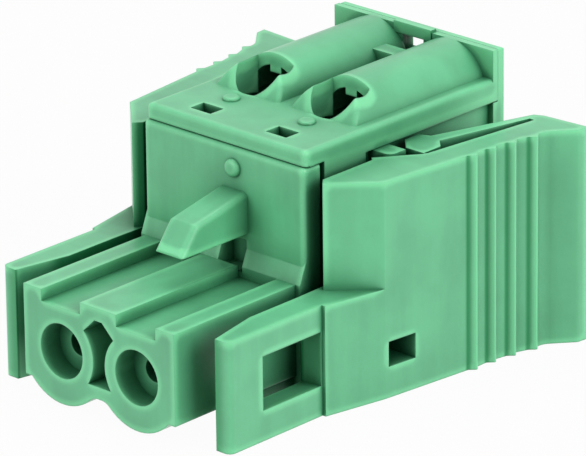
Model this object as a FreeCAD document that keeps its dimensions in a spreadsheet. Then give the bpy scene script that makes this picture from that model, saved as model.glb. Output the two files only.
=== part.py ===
import FreeCAD
import Part
import os
import Sketcher
from FreeCAD import Vector

# Two-pole pluggable terminal block, in millimetres.
# Inside this file Y runs from the mating face to the wire side, Z is measured from the socket axes
# and X from the middle of the two poles. Each finished piece is then placed so that the origin is
# the centre of the whole part's underside.

SIZES = (
    # mating end
    ("pitch", 5.08, "distance between the two sockets"),
    ("plug_side", 2.54, "outer socket axis to the side of the mating end"),
    ("rib_top", 2.92, "height of the keying ribs"),
    ("groove_floor", 2.30, "height of the groove floors"),
    ("groove_half", 1.32, "half width of a keying groove"),
    ("flat_drop", 1.86, "depth of the flat strips beside the lobes"),
    ("lobe_radius", 2.80, "round lobe under each socket"),
    ("valley_radius", 0.80, "blend between a lobe and the flat"),
    ("socket_radius", 1.43, "counterbore at the mating face"),
    ("socket_depth", 1.28, "depth of the counterbore"),
    ("guide_radius", 0.62, "pin guide behind the counterbore"),
    ("guide_length", 1.15, "length of the pin guide"),
    ("keel_front", 5.40, "front of the low rails beside the lobes"),
    ("keel_side", 0.18, "low rail set in from the side of the mating end"),
    ("keel_width", 0.90, "width of a low rail"),
    ("keel_drop", 2.55, "underside of the low rails"),
    ("core_roof", 2.24, "top of the core-out between the sockets"),
    ("core_shoulder", 1.50, "height where the core-out narrows to its roof"),
    ("core_drop", 1.22, "depth of the core-out's floor"),
    ("core_roof_half", 0.25, "half width of the core-out's roof"),
    ("core_half", 1.02, "half width of the core-out at its shoulder"),
    ("core_depth", 2.00, "how far the core-out runs in"),
    ("tube_radius", 2.15, "outside of a socket's tube in the core-out"),
    # tall block of the housing
    ("block_front", 8.90, "mating face to the tall block's front"),
    ("foot_run", 0.34, "how far the sloped foot stands out"),
    ("foot_top", 3.77, "top of the sloped foot"),
    ("block_side", 2.84, "outer socket axis to the block's front posts"),
    ("block_top", 8.88, "top of the block, seat of the cover"),
    ("block_drop", 2.80, "underside of the block"),
    ("post_length", 1.16, "front posts, along Y"),
    ("recess_side", 2.46, "outer socket axis to the side behind the posts"),
    ("flange_front", 22.85, "front of the rear flange"),
    ("rear_inner", 23.20, "front of the housing's rear wall"),
    ("rear_wall", 0.45, "thickness of the rear wall"),
    ("wall_rise", 1.50, "rear wall above the cover's plate"),
    ("edge_radius", 0.22, "rounding of moulded outer edges"),
    # nose and pips
    ("nose_middle", 0.69, "nose centre from the middle plane"),
    ("nose_half", 0.92, "half width of the nose"),
    ("nose_root", 6.75, "top of the nose at the block"),
    ("nose_knee", 5.30, "where the nose starts to drop"),
    ("nose_knee_top", 6.05, "top of the nose at its knee"),
    ("nose_tip", 4.25, "tip of the nose"),
    ("nose_tip_top", 4.72, "top of the nose at its tip"),
    ("nose_under", 4.60, "underside of the nose"),
    ("nose_radius", 0.26, "rounding of the nose's long edges"),
    ("pocket_half", 0.82, "half width of the pocket under the nose"),
    ("pocket_low", 2.60, "floor of the pocket under the nose"),
    ("pocket_high", 4.25, "roof of the pocket under the nose"),
    ("pocket_depth", 0.80, "depth of the pocket under the nose"),
    ("pip_radius", 0.48, "round pip on the block's front"),
    ("pip_height", 0.26, "how far the pip stands out"),
    ("pip_level", 7.83, "height of the pip"),
    # chambers
    ("chamber_half", 1.85, "half width of a pole's chamber"),
    ("chamber_front", 10.40, "front of the spring chamber"),
    ("chamber_rear", 17.40, "rear of the spring chamber"),
    ("chamber_drop", 1.25, "floor of the chambers, seat of the contact"),
    ("bay_half", 1.32, "half width of the contact bay in the mating end"),
    ("bay_top", 1.25, "roof of the contact bay"),
    ("shelf", 5.75, "shelf that carries the release button"),
    ("wire_radius", 1.50, "round wire entry"),
    ("wire_level", 0.70, "height of the wire entry's axis"),
    ("funnel_radius", 1.95, "mouth of the wire entry"),
    ("funnel_length", 1.30, "length of the wire entry's cone"),
    # hinge of the levers
    ("hinge_x", 5.95, "hinge axis from the middle plane"),
    ("hinge_y", 14.50, "hinge axis from the mating face"),
    ("pin_radius", 0.45, "hinge pin"),
    ("pin_play", 0.05, "radial play of the hinge"),
    ("collar_radius", 0.68, "collar at the foot of the pin"),
    ("collar_low", 1.40, "underside of the collar"),
    ("collar_high", 2.00, "top of the collar"),
    ("web_half", 0.18, "half thickness of the web behind the pin"),
    ("cap_lap_front", 0.09, "how far the cap over the hinge laps the pin in front"),
    ("cap_lap_rear", 0.13, "how far the cap laps the pin behind"),
    ("cap_lap_side", 0.06, "how far the cap laps the pin on its outer side"),
    ("cap_thick", 0.40, "thickness of the cap over the hinge"),
    ("cap_round", 0.46, "rounding of the cap's outer front corner"),
    ("cap_gap", 0.06, "gap between lever and cap"),
    ("cap_sink", 0.37, "depth of the lever's recess for the cap"),
    ("sink_lead", 1.20, "inner front corner of that recess, ahead of the cap"),
    ("sink_side", 0.94, "outer rear corner of that recess, beside the cap"),
    # cover
    ("cover_front", 9.10, "front of the cover"),
    ("cover_side", 2.81, "outer socket axis to the cover's side"),
    ("plate_thick", 0.82, "thickness of the cover's plate"),
    ("lip_gap", 0.04, "shadow gap under the cover's front lip"),
    ("lip_depth", 0.30, "depth of the shadow gap"),
    ("skirt_low", 8.50, "lower edge of the cover's side skirts"),
    ("skirt_play", 0.05, "gap between skirt and housing"),
    ("skirt_slot", 0.36, "slot between a front post and the skirt"),
    ("tab_low", 6.90, "lower edge of the skirt's snap tab"),
    ("tab_end", 13.40, "rear end of the snap tab"),
    ("window_front", 10.00, "front of the test windows"),
    ("window_length", 0.95, "test windows along Y"),
    ("window_half", 0.68, "half width of a test window"),
    ("stud_y", 12.22, "low pips on the cover"),
    ("stud_radius", 0.45, "radius of the low pips"),
    ("stud_height", 0.16, "height of the low pips"),
    ("tunnel_start", 13.30, "front of the tunnels at the plate"),
    ("tunnel_radius", 2.28, "outside of a tunnel"),
    ("tunnel_seat", 0.07, "centre of the tunnels' round above the cover's seat"),
    ("tunnel_edge", 0.22, "rounding of a tunnel's front edge"),
    ("tunnel_lean", 1.30, "how far the tunnel's face leans back at the crest"),
    ("mouth_set", 1.36, "front of a tunnel to the centre of its mouth's round"),
    ("mouth_radius", 1.45, "radius of the mouth"),
    ("mouth_cut", 0.79, "centre of the mouth's round to its rear wall"),
    ("channel_radius", 1.65, "inside of a tunnel"),
    ("rail_half", 0.37, "half width of the tunnel's guide rail"),
    ("rail_rise", 0.50, "underside of the guide rail above the plate"),
    ("rail_length", 5.00, "length of the guide rail"),
    ("gate_half", 0.70, "half width of the window in the rear wall"),
    ("gate_sill", 0.20, "sill of the window in the rear wall, above the plate"),
    ("gate_height", 0.84, "height of the window in the rear wall"),
    ("lintel_half", 1.25, "half width of the thick lintel"),
    ("lintel_depth", 0.06, "how far the lintel stands forward"),
    ("lintel_rise", 0.14, "how far the lintel stands above the wall"),
    ("bridge_front", 20.72, "front of the bridge between the tunnels"),
    ("bridge_length", 1.00, "length of the bridge"),
    ("bridge_half", 0.85, "half width of the bridge"),
    ("bridge_rise", 0.76, "top of the bridge above the plate"),
    # levers
    ("lever_low", 2.96, "underside of a lever, below the socket axes"),
    ("lever_top", 8.37, "top of a lever's plate"),
    ("arm_top", 2.83, "top of a lever's front arm"),
    ("arm_tip", 1.09, "front of the arm"),
    ("arm_outer", 7.67, "outer face of the arm"),
    ("arm_round", 0.36, "rounding of the arm's outer front corner"),
    ("arm_tip_inner", 6.75, "inner edge of the arm's tip"),
    ("arm_inner", 6.10, "inner face of the arm"),
    ("arm_taper_end", 4.20, "where the arm reaches full thickness"),
    ("arm_step_y", 7.63, "step in the arm's outer face"),
    ("arm_step", 0.20, "height of that step"),
    ("plate_corner_x", 6.43, "inner front corner of the plate"),
    ("plate_front", 9.10, "front of the plate"),
    ("facet_x", 8.58, "outer end of the front facet"),
    ("facet_y", 11.18, "rear end of the front facet"),
    ("plate_inner", 6.05, "inner face of the plate"),
    ("latch_front", 3.43, "front of the latch window"),
    ("latch_length", 4.11, "latch window along Y"),
    ("latch_low", 1.37, "sill of the latch window"),
    ("latch_high", 1.45, "lintel of the latch window"),
    ("latch_taper", 10.0, "taper of the latch window in degrees"),
    ("hole_front", 11.40, "front of the square hole"),
    ("hole_length", 1.75, "square hole along Y"),
    ("hole_low", 1.32, "sill of the square hole"),
    ("hole_high", 0.0, "lintel of the square hole"),
    ("grip_start", 16.62, "front of the finger grip"),
    ("grip_x", 9.17, "outer face at the front of the grip"),
    ("ridge_pitch", 1.31, "distance between grip ridges"),
    ("ridge_run", 0.33, "rise of a ridge along Y"),
    ("ridge_height", 0.33, "height of a ridge"),
    ("ridge_drift", 0.058, "how far each ridge stands further out"),
    ("ridge_radius", 0.10, "rounding of the ridges"),
    ("crease_run", 0.44, "flat behind the last ridge, up to the tail"),
    ("crease_out", 0.05, "how far that flat rises outwards"),
    ("tail_sweep", 0.80, "curve of the tail behind the grip"),
    ("tail_radius", 0.30, "rounding of the tail's corner"),
    ("tail_out", 1.10, "how far the tail stands out from the grip"),
    ("tail_run", 1.30, "slope of the tail along Y"),
    ("tail_length", 0.60, "end facet of the tail along Y"),
    ("tail_inner_x", 7.80, "inner corner of the tail"),
    ("tail_cut", 0.45, "slope at the tail's inner corner along Y"),
    ("leaf_front_x", 5.95, "inner face of the leaf spring behind its foot"),
    ("leaf_front_y", 17.50, "rear of the leaf spring's foot"),
    ("leaf_thick_front", 0.78, "thickness of the leaf spring at its foot"),
    ("leaf_thick_rear", 0.50, "thickness of the leaf spring at its root"),
    ("slot_wall", 0.55, "wall between the slot's rear end and the tail's inner corner"),
    ("slot_front_x", 7.45, "outer side of the slot at the foot"),
    ("slot_rear_gap", 0.30, "width of the slot at its rear end"),
    ("foot_front", 15.45, "front of the leaf's foot"),
    ("foot_inner", 5.35, "inner face of the leaf's foot"),
    ("foot_outer", 7.30, "outer side of the leaf's foot"),
    ("foot_cut", 0.80, "slope at the inner front of the foot"),
    ("foot_length", 1.25, "outer side of the foot along Y"),
    ("jaw_front", 13.30, "front of the hinge jaw"),
    ("jaw_inner", 5.60, "inner face of the hinge jaw"),
    ("jaw_rear", 15.34, "rear of the hinge jaw"),
    # contacts
    ("strip", 0.40, "sheet thickness of the contact"),
    ("strip_half", 0.95, "half width of the current bar"),
    ("bar_end", 17.20, "rear end of the current bar"),
    ("tine_tip", 2.70, "front of the contact tines"),
    ("tine_root", 8.60, "rear of the contact tines"),
    ("tine_gap", 0.55, "half gap between the tines at the pinch"),
    ("tine_pinch", 3.90, "where the tines come closest"),
    ("tine_mouth", 0.75, "half gap at the tips"),
    ("tine_spread", 0.80, "half gap at the tines' roots"),
    ("tine_top", 0.85, "top of the tines"),
    # clamp springs
    ("leg_half", 1.12, "half width of a clamp spring"),
    ("wing_half", 1.62, "half width of the spring's wings"),
    ("wing_low", 2.50, "lower edge of the wings"),
    ("wing_height", 1.00, "height of the wings"),
    ("leg_thick", 0.35, "sheet thickness of a clamp spring"),
    ("anchor_y", 17.30, "rear face of the anchor leg"),
    ("anchor_low", 2.40, "lower end of the anchor leg"),
    ("bow_top", 5.45, "top of the spring's bow"),
    ("bow_front", 15.45, "front of the spring's bow"),
    ("leg_tip_y", 12.00, "tip of the clamping leg"),
    ("leg_tip_gap", 0.12, "gap between the tip and the current bar"),
    ("leg_foot", 0.42, "height of the tip's end face"),
    ("bow_radius", 0.55, "bend radius of the bow"),
    # release buttons
    ("button_play", 0.12, "side play of a button in its channel"),
    ("button_front", 15.05, "front of a button"),
    ("button_crown", 18.20, "front of the button's raised part"),
    ("button_proud", 0.25, "how far a button stands out of the rear wall"),
    ("button_step", 8.66, "top of the button's low part"),
    ("prong_low", 3.30, "underside of the button's prongs"),
    ("prong_thick", 0.28, "thickness of a prong"),
    ("prong_length", 2.20, "length of a prong"),
    ("slot_depth", 0.60, "depth of the driver slot"),
    ("slot_half", 0.30, "half height of the driver slot"),
)

RIDGES = 4

doc = FreeCAD.newDocument("terminal_plug")
sheet = doc.addObject("Spreadsheet::Sheet", "sizes")


class Size:
    """A length written as an expression on the sheet, together with its value."""

    def __init__(self, text, value):
        self.text = text
        self.value = value

    def join(self, sign, other, value):
        return Size("(" + self.text + " " + sign + " " + size(other).text + ")", value)

    def __add__(self, other):
        return self.join("+", other, self.value + size(other).value)

    def __sub__(self, other):
        return self.join("-", other, self.value - size(other).value)

    def __mul__(self, other):
        return self.join("*", other, self.value * size(other).value)

    def __truediv__(self, other):
        return self.join("/", other, self.value / size(other).value)

    def __neg__(self):
        return Size("(-1 * " + self.text + ")", -self.value)


def size(value):
    """A plain number as a Size, and a Size as it is."""
    return value if isinstance(value, Size) else Size(str(value), float(value))


class Sheet:
    """The named sizes, as attributes."""


s = Sheet()
for row, (name, number, note) in enumerate(SIZES, start=1):
    sheet.set("A" + str(row), name)
    sheet.set("B" + str(row), str(number))
    sheet.set("C" + str(row), note)
    sheet.setAlias("B" + str(row), name)
    setattr(s, name, Size("sizes." + name, number))
doc.recompute()

# Sizes that follow from the named ones.
pole = s.pitch / 2
plug_half = pole + s.plug_side
block_half = pole + s.block_side
recess_half = pole + s.recess_side
cover_half = pole + s.cover_side
guide_end = s.socket_depth + s.guide_length
rear_face = s.rear_inner + s.rear_wall
button_end = rear_face + s.button_proud
plate_top = s.block_top + s.plate_thick
tunnel_level = s.block_top + s.tunnel_seat
crest = tunnel_level + s.tunnel_radius
mouth_y = s.tunnel_start + s.mouth_set
mouth_rear = mouth_y + s.mouth_cut
crease_x = s.grip_x + s.ridge_drift * ((RIDGES - 1) ** 2 + 1) + s.crease_out
crease_y = s.grip_start + s.ridge_pitch * (RIDGES - 1) + s.ridge_run * 2 + s.crease_run
tail_x = crease_x + s.tail_out
tail_y = crease_y + s.tail_run
lever_end = tail_y + s.tail_length
tail_inner_y = lever_end - s.tail_cut
slot_end_y = tail_inner_y - s.slot_wall
cap_front = s.hinge_y - s.pin_radius - s.cap_lap_front
cap_rear = s.hinge_y + s.pin_radius + s.cap_lap_rear
cap_reach = s.hinge_x + s.pin_radius + s.cap_lap_side
wall_top = plate_top + s.wall_rise
rail_low = plate_top + s.rail_rise
gate_low = plate_top + s.gate_sill
gate_high = gate_low + s.gate_height
bridge_top = plate_top + s.bridge_rise


def bind(thing, prop, value):
    """Ties a property to a size on the sheet, or sets a plain number."""
    if isinstance(value, Size):
        thing.setExpression(prop, value.text)
    else:
        setattr(thing, prop, value)


def new_body(name):
    """A body placed so that the part's origin is the middle of its underside."""
    body = doc.addObject("PartDesign::Body", name)
    body.Label = name
    body.setExpression("Placement.Base.y", (-(button_end / 2)).text)
    body.setExpression("Placement.Base.z", s.lever_low.text)
    return body


def sketch(body, plane, at=0):
    """A sketch on an origin plane of the body, moved along the row's own axis to the place given."""
    sk = body.newObject("Sketcher::SketchObject", "outline")
    base = [item for item in body.Origin.OriginFeatures if item.Role == plane][0]
    sk.AttachmentSupport = (base, [""])
    sk.MapMode = "FlatFace"
    along = -size(at) if plane == "XZ_Plane" else size(at)
    sk.setExpression("AttachmentOffset.Base.z", along.text)
    return sk


def fix(sk, kind, value, *where):
    """A dimension of the sketch, tied to its size."""
    index = sk.addConstraint(Sketcher.Constraint(kind, *where, size(value).value))
    if isinstance(value, Size):
        sk.setExpression("Constraints[" + str(index) + "]", value.text)


def hold(sk, curve, end, x, y):
    """Both coordinates of one point."""
    fix(sk, "DistanceX", x, -1, 1, curve, end)
    fix(sk, "DistanceY", y, -1, 1, curve, end)


def corner(x, y):
    return Vector(size(x).value, size(y).value, 0)


def outline(sk, points):
    """A closed outline of straight lines through the points."""
    first = sk.GeometryCount
    count = len(points)
    for i in range(count):
        a = points[i]
        b = points[(i + 1) % count]
        sk.addGeometry(Part.LineSegment(corner(*a), corner(*b)), False)
    for i in range(count):
        following = first + (i + 1) % count
        sk.addConstraint(Sketcher.Constraint("Coincident", first + i, 2, following, 1))
    for i, (x, y) in enumerate(points):
        hold(sk, first + i, 1, x, y)


def box(sk, low_x, high_x, low_y, high_y):
    outline(sk, ((low_x, low_y), (high_x, low_y), (high_x, high_y), (low_x, high_y)))


def circle(sk, x, y, radius):
    curve = sk.addGeometry(Part.Circle(corner(x, y), Vector(0, 0, 1), size(radius).value), False)
    hold(sk, curve, 3, x, y)
    fix(sk, "Radius", radius, curve)


def round_cut(sk, x, y, radius, level, upper):
    """The part of a disc that lies above or below a level, as one closed outline."""
    reach = (size(radius).value ** 2 - (size(level).value - size(y).value) ** 2) ** 0.5
    middle = corner(x, y)
    left = Vector(middle.x - reach, size(level).value, 0)
    right = Vector(middle.x + reach, size(level).value, 0)
    top = middle + Vector(0, size(radius).value if upper else -size(radius).value, 0)
    arc = sk.addGeometry(Part.Arc(left, top, right), False)
    line = sk.addGeometry(Part.LineSegment(left, right), False)
    first = sk.getPoint(arc, 1)
    start, end = (1, 2) if (first - left).Length < (first - right).Length else (2, 1)
    sk.addConstraint(Sketcher.Constraint("Coincident", arc, start, line, 1))
    sk.addConstraint(Sketcher.Constraint("Coincident", arc, end, line, 2))
    hold(sk, arc, 3, x, y)
    fix(sk, "Radius", radius, arc)
    fix(sk, "DistanceY", level, -1, 1, line, 1)
    fix(sk, "DistanceY", level, -1, 1, line, 2)


def arch(sk, x, y, radius, foot):
    """A round-topped opening: half a disc over straight sides that stand on the foot."""
    middle = corner(x, y)
    reach = Vector(size(radius).value, 0, 0)
    left = middle - reach
    right = middle + reach
    low_left = Vector(left.x, size(foot).value, 0)
    low_right = Vector(right.x, size(foot).value, 0)
    arc = sk.addGeometry(Part.Arc(left, middle + Vector(0, reach.x, 0), right), False)
    first = sk.getPoint(arc, 1)
    start, end = (1, 2) if (first - left).Length < (first - right).Length else (2, 1)
    side_a = sk.addGeometry(Part.LineSegment(right, low_right), False)
    floor = sk.addGeometry(Part.LineSegment(low_right, low_left), False)
    side_b = sk.addGeometry(Part.LineSegment(low_left, left), False)
    sk.addConstraint(Sketcher.Constraint("Coincident", arc, end, side_a, 1))
    sk.addConstraint(Sketcher.Constraint("Coincident", side_a, 2, floor, 1))
    sk.addConstraint(Sketcher.Constraint("Coincident", floor, 2, side_b, 1))
    sk.addConstraint(Sketcher.Constraint("Coincident", side_b, 2, arc, start))
    sk.addConstraint(Sketcher.Constraint("Vertical", side_a))
    sk.addConstraint(Sketcher.Constraint("Vertical", side_b))
    sk.addConstraint(Sketcher.Constraint("Horizontal", floor))
    hold(sk, arc, 3, x, y)
    fix(sk, "Radius", radius, arc)
    fix(sk, "DistanceY", y, -1, 1, arc, start)
    fix(sk, "DistanceY", foot, -1, 1, floor, 1)


def feature(body, kind, sk, length, flip, taper=None):
    made = body.newObject(kind, kind.split("::")[1].lower())
    made.Profile = sk
    bind(made, "Length", length)
    made.Reversed = flip
    if taper is not None:
        bind(made, "TaperAngle", taper)
    sk.Visibility = False
    return made


def pad(body, sk, length, flip=False):
    """Material along the sketch's normal, or against it when flipped."""
    return feature(body, "PartDesign::Pad", sk, length, flip)


def pocket(body, sk, length, flip=False, taper=None):
    """A cut against the sketch's normal, or along it when flipped."""
    return feature(body, "PartDesign::Pocket", sk, length, flip, taper)


def dress(body, kind, size_name, value, wanted):
    """A fillet or chamfer on the edges of the present shape that the test picks."""
    doc.recompute()
    base = body.Tip
    names = []
    for number, edge in enumerate(base.Shape.Edges, start=1):
        middle = edge.valueAt((edge.FirstParameter + edge.LastParameter) / 2)
        start = edge.valueAt(edge.FirstParameter)
        end = edge.valueAt(edge.LastParameter)
        if wanted(middle, start, end):
            names.append("Edge" + str(number))
    made = body.newObject(kind, kind.split("::")[1].lower())
    made.Base = (base, names)
    bind(made, size_name, value)
    base.Visibility = False
    return made


def fillet(body, radius, wanted):
    return dress(body, "PartDesign::Fillet", "Radius", radius, wanted)


def near(a, b):
    return abs(a - size(b).value) < 0.01


def along_x(start, end):
    return near(start.y, end.y) and near(start.z, end.z)


def along_y(start, end):
    return near(start.x, end.x) and near(start.z, end.z)


def along_z(start, end):
    return near(start.x, end.x) and near(start.y, end.y)


def make_housing():
    body = new_body("housing")

    # Mating end: flat-sided block with two keying grooves, over two round lobes.
    sk = sketch(body, "XZ_Plane")
    points = [(-plug_half, -s.flat_drop), (plug_half, -s.flat_drop), (plug_half, s.rib_top)]
    for middle in (pole, -pole):
        points.append((middle + s.groove_half, s.rib_top))
        points.append((middle + s.groove_half, s.groove_floor))
        points.append((middle - s.groove_half, s.groove_floor))
        points.append((middle - s.groove_half, s.rib_top))
    points.append((-plug_half, s.rib_top))
    outline(sk, points)
    pad(body, sk, s.block_front, True)
    for middle in (-pole, pole):
        sk = sketch(body, "XZ_Plane")
        round_cut(sk, middle, 0, s.lobe_radius, -s.flat_drop, False)
        pad(body, sk, s.block_front, True)
    inner_foot = s.pitch.value / 2 - (s.lobe_radius.value**2 - s.flat_drop.value**2) ** 0.5
    fillet(
        body,
        s.valley_radius,
        lambda m, a, b: along_y(a, b) and near(m.z, -s.flat_drop) and abs(abs(m.x) - inner_foot) < 0.01,
    )
    # Low rails beside the lobes, towards the tall block.
    sk = sketch(body, "XY_Plane", -s.keel_drop)
    outer = plug_half - s.keel_side
    box(sk, -outer, -outer + s.keel_width, s.keel_front, s.block_front)
    box(sk, outer - s.keel_width, outer, s.keel_front, s.block_front)
    pad(body, sk, s.keel_drop - s.flat_drop / 2)

    # Tall block with its sloped foot.
    sk = sketch(body, "YZ_Plane", -block_half)
    post_end = s.block_front + s.post_length
    outline(
        sk,
        (
            (s.block_front - s.foot_run, -s.block_drop),
            (post_end, -s.block_drop),
            (post_end, s.block_top),
            (s.block_front, s.block_top),
            (s.block_front, s.foot_top),
            (s.block_front - s.foot_run, s.rib_top),
        ),
    )
    pad(body, sk, block_half * 2)
    sk = sketch(body, "XY_Plane", -s.block_drop)
    box(sk, -recess_half, recess_half, post_end, s.rear_inner)
    pad(body, sk, s.block_top + s.block_drop)
    sk = sketch(body, "XY_Plane", -s.block_drop)
    box(sk, -cover_half, cover_half, s.flange_front, s.rear_inner)
    pad(body, sk, s.skirt_low - s.skirt_play + s.block_drop)
    sk = sketch(body, "XZ_Plane", s.rear_inner)
    box(sk, -cover_half, cover_half, -s.block_drop, wall_top)
    pad(body, sk, s.rear_wall, True)
    fillet(
        body,
        s.edge_radius,
        lambda m, a, b: (along_z(a, b) and near(m.y, s.block_front) and near(abs(m.x), block_half))
        or (along_x(a, b) and near(m.y, s.block_front) and near(m.z, s.block_top))
        or (along_y(a, b) and near(abs(m.x), block_half) and near(m.z, s.block_top)),
    )
    fillet(
        body,
        s.edge_radius / 2,
        lambda m, a, b: (along_y(a, b) or along_x(a, b)) and near(m.z, wall_top),
    )

    # Nose over the ribs, with the pocket that its core leaves under it.
    sk = sketch(body, "YZ_Plane", s.nose_middle - s.nose_half)
    outline(
        sk,
        (
            (s.block_front + s.edge_radius, s.nose_under),
            (s.block_front + s.edge_radius, s.nose_root),
            (s.block_front, s.nose_root),
            (s.nose_knee, s.nose_knee_top),
            (s.nose_tip, s.nose_tip_top),
            (s.nose_tip, s.nose_under),
        ),
    )
    pad(body, sk, s.nose_half * 2)
    nose_sides = (s.nose_middle.value - s.nose_half.value, s.nose_middle.value + s.nose_half.value)
    fillet(
        body,
        s.nose_radius,
        lambda m, a, b: near(a.x, b.x)
        and min(abs(m.x - side) for side in nose_sides) < 0.01
        and m.y < s.block_front.value
        and m.z > s.nose_under.value + 0.01
        and abs(a.y - b.y) > 0.2,
    )
    sk = sketch(body, "XZ_Plane", s.block_front - s.foot_run)
    box(
        sk,
        s.nose_middle - s.pocket_half,
        s.nose_middle + s.pocket_half,
        s.pocket_low,
        s.pocket_high,
    )
    pocket(body, sk, s.pocket_depth + s.foot_run)
    sk = sketch(body, "XZ_Plane", s.block_front)
    circle(sk, s.nose_middle, s.pip_level, s.pip_radius)
    pad(body, sk, s.pip_height)
    fillet(
        body,
        s.pip_height * 0.9,
        lambda m, a, b: near(m.y, s.block_front - s.pip_height) and near(a.y, b.y),
    )

    # Core-out between the sockets, with the sockets' tubes left standing in it.
    sk = sketch(body, "XZ_Plane")
    outline(
        sk,
        (
            (-s.core_half, -s.core_drop),
            (s.core_half, -s.core_drop),
            (s.core_half, s.core_shoulder),
            (s.core_roof_half, s.core_roof),
            (-s.core_roof_half, s.core_roof),
            (-s.core_half, s.core_shoulder),
        ),
    )
    pocket(body, sk, s.core_depth)
    sk = sketch(body, "XZ_Plane")
    circle(sk, -pole, 0, s.tube_radius)
    circle(sk, pole, 0, s.tube_radius)
    pad(body, sk, s.core_depth, True)

    # Sockets: counterbore, pin guide, then the bay of the contact.
    sk = sketch(body, "XZ_Plane")
    circle(sk, -pole, 0, s.socket_radius)
    circle(sk, pole, 0, s.socket_radius)
    pocket(body, sk, s.socket_depth)
    sk = sketch(body, "XZ_Plane", s.socket_depth)
    circle(sk, -pole, 0, s.guide_radius)
    circle(sk, pole, 0, s.guide_radius)
    pocket(body, sk, s.guide_length)
    sk = sketch(body, "XZ_Plane", guide_end)
    for middle in (-pole, pole):
        box(sk, middle - s.bay_half, middle + s.bay_half, -s.chamber_drop, s.bay_top)
    pocket(body, sk, s.chamber_front - guide_end)

    # Spring chambers, open at the top under the cover, and the button channels behind them.
    sk = sketch(body, "XY_Plane", s.block_top)
    for middle in (-pole, pole):
        box(sk, middle - s.chamber_half, middle + s.chamber_half, s.chamber_front, s.chamber_rear)
    pocket(body, sk, s.block_top + s.chamber_drop)
    sk = sketch(body, "XZ_Plane", s.chamber_rear)
    for middle in (-pole, pole):
        box(sk, middle - s.chamber_half, middle + s.chamber_half, s.shelf, s.block_top)
    pocket(body, sk, s.rear_inner - s.chamber_rear)
    sk = sketch(body, "XZ_Plane", s.rear_inner)
    for middle in (-pole, pole):
        arch(sk, middle, tunnel_level, s.chamber_half, s.shelf)
    pocket(body, sk, s.rear_wall)
    sk = sketch(body, "XZ_Plane", s.rear_inner)
    box(sk, -s.gate_half, s.gate_half, gate_low, gate_high)
    pocket(body, sk, s.rear_wall)

    # Round wire entries with conical mouths.
    sk = sketch(body, "XZ_Plane", s.chamber_rear)
    circle(sk, -pole, s.wire_level, s.wire_radius)
    circle(sk, pole, s.wire_level, s.wire_radius)
    pocket(body, sk, rear_face - s.chamber_rear)
    dress(
        body,
        "PartDesign::Chamfer",
        "Size",
        s.funnel_radius - s.wire_radius,
        lambda m, a, b: near(m.y, rear_face)
        and near(a.y, b.y)
        and abs(((abs(m.x) - pole.value) ** 2 + (m.z - s.wire_level.value) ** 2) ** 0.5 - s.wire_radius.value)
        < 0.01,
    )
    chamfer = body.Tip
    chamfer.ChamferType = "Two distances"
    bind(chamfer, "Size2", s.funnel_length)

    # Hinge pins of the levers: web, collar, pin and cap on each side.
    pin_top = s.lever_top - s.cap_sink + s.cap_gap
    for side in (-1, 1):
        sk = sketch(body, "XY_Plane", s.collar_low)
        inner = (recess_half - s.web_half) * side
        ends = (inner, s.hinge_x * side) if side > 0 else (s.hinge_x * side, inner)
        box(sk, ends[0], ends[1], s.hinge_y - s.web_half, s.hinge_y + s.web_half)
        pad(body, sk, pin_top - s.collar_low)
        sk = sketch(body, "XY_Plane", s.collar_low)
        circle(sk, s.hinge_x * side, s.hinge_y, s.collar_radius)
        pad(body, sk, s.collar_high - s.collar_low)
        sk = sketch(body, "XY_Plane", s.collar_low)
        circle(sk, s.hinge_x * side, s.hinge_y, s.pin_radius)
        pad(body, sk, pin_top - s.collar_low)
        sk = sketch(body, "XY_Plane", pin_top)
        low = (recess_half - s.web_half) * side
        high = cap_reach * side
        ends = (low, high) if side > 0 else (high, low)
        box(sk, ends[0], ends[1], cap_front, cap_rear)
        pad(body, sk, s.cap_thick)
    fillet(
        body,
        s.cap_round,
        lambda m, a, b: along_z(a, b) and near(m.y, cap_front) and near(abs(m.x), cap_reach),
    )
    return body


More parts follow.
